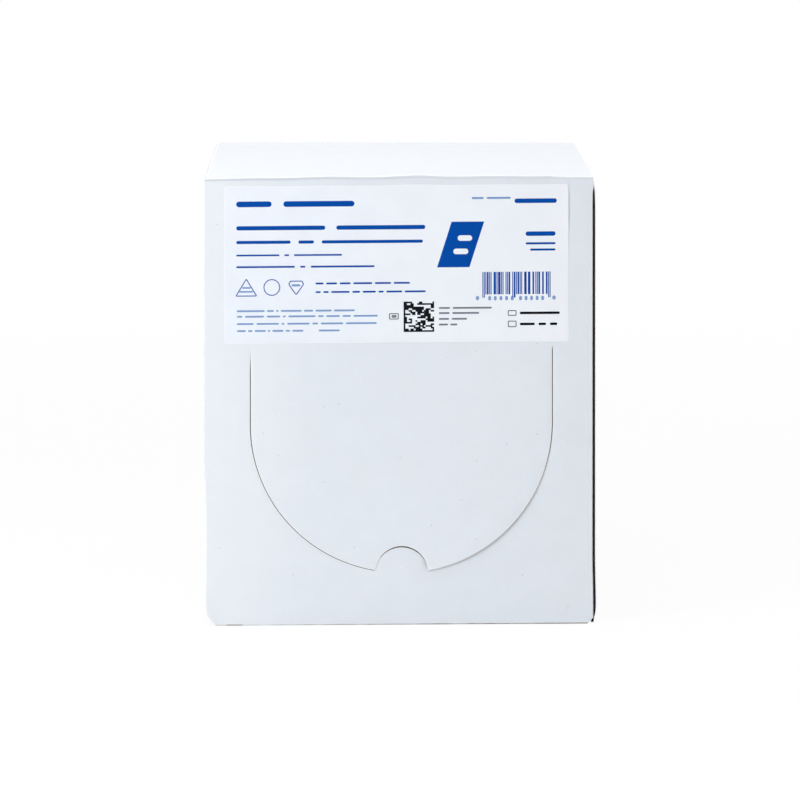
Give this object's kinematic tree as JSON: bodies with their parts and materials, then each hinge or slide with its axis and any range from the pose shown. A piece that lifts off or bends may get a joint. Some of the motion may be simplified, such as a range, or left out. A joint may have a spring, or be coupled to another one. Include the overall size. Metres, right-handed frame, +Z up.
{
  "type": "dispenser carton",
  "caption": "White corrugated dispenser carton with a paper label and a U-shaped pull-up flap with a half-round thumb notch in its front.",
  "frame": {"origin": "centre of the base, on the surface the carton stands on", "axes": "+Z up; the front with the label and the flap faces -Y; +X is to the right of someone looking at the front"},
  "size_m": [0.1414, 0.1501, 0.163],
  "materials": {
    "board": "white-coated corrugated board, matt, with brown flutes at its cut edges",
    "flap_board": "white-coated corrugated board, matt, with brown flutes at its cut edges",
    "label_paper": "smooth white label paper with blue and black printing"
  },
  "bodies": {
    "box": {"carton": "board", "label": "label_paper"},
    "flap": {"dispenser_flap": "flap_board"}
  },
  "joints": [
    {"name": "flap_hinge", "type": "hinge", "parent": "box", "child": "flap", "pos_m": [0.0004, -0.075, 0.1012], "axis": [-1, 0, 0], "range_deg": [0, 150]}
  ]
}
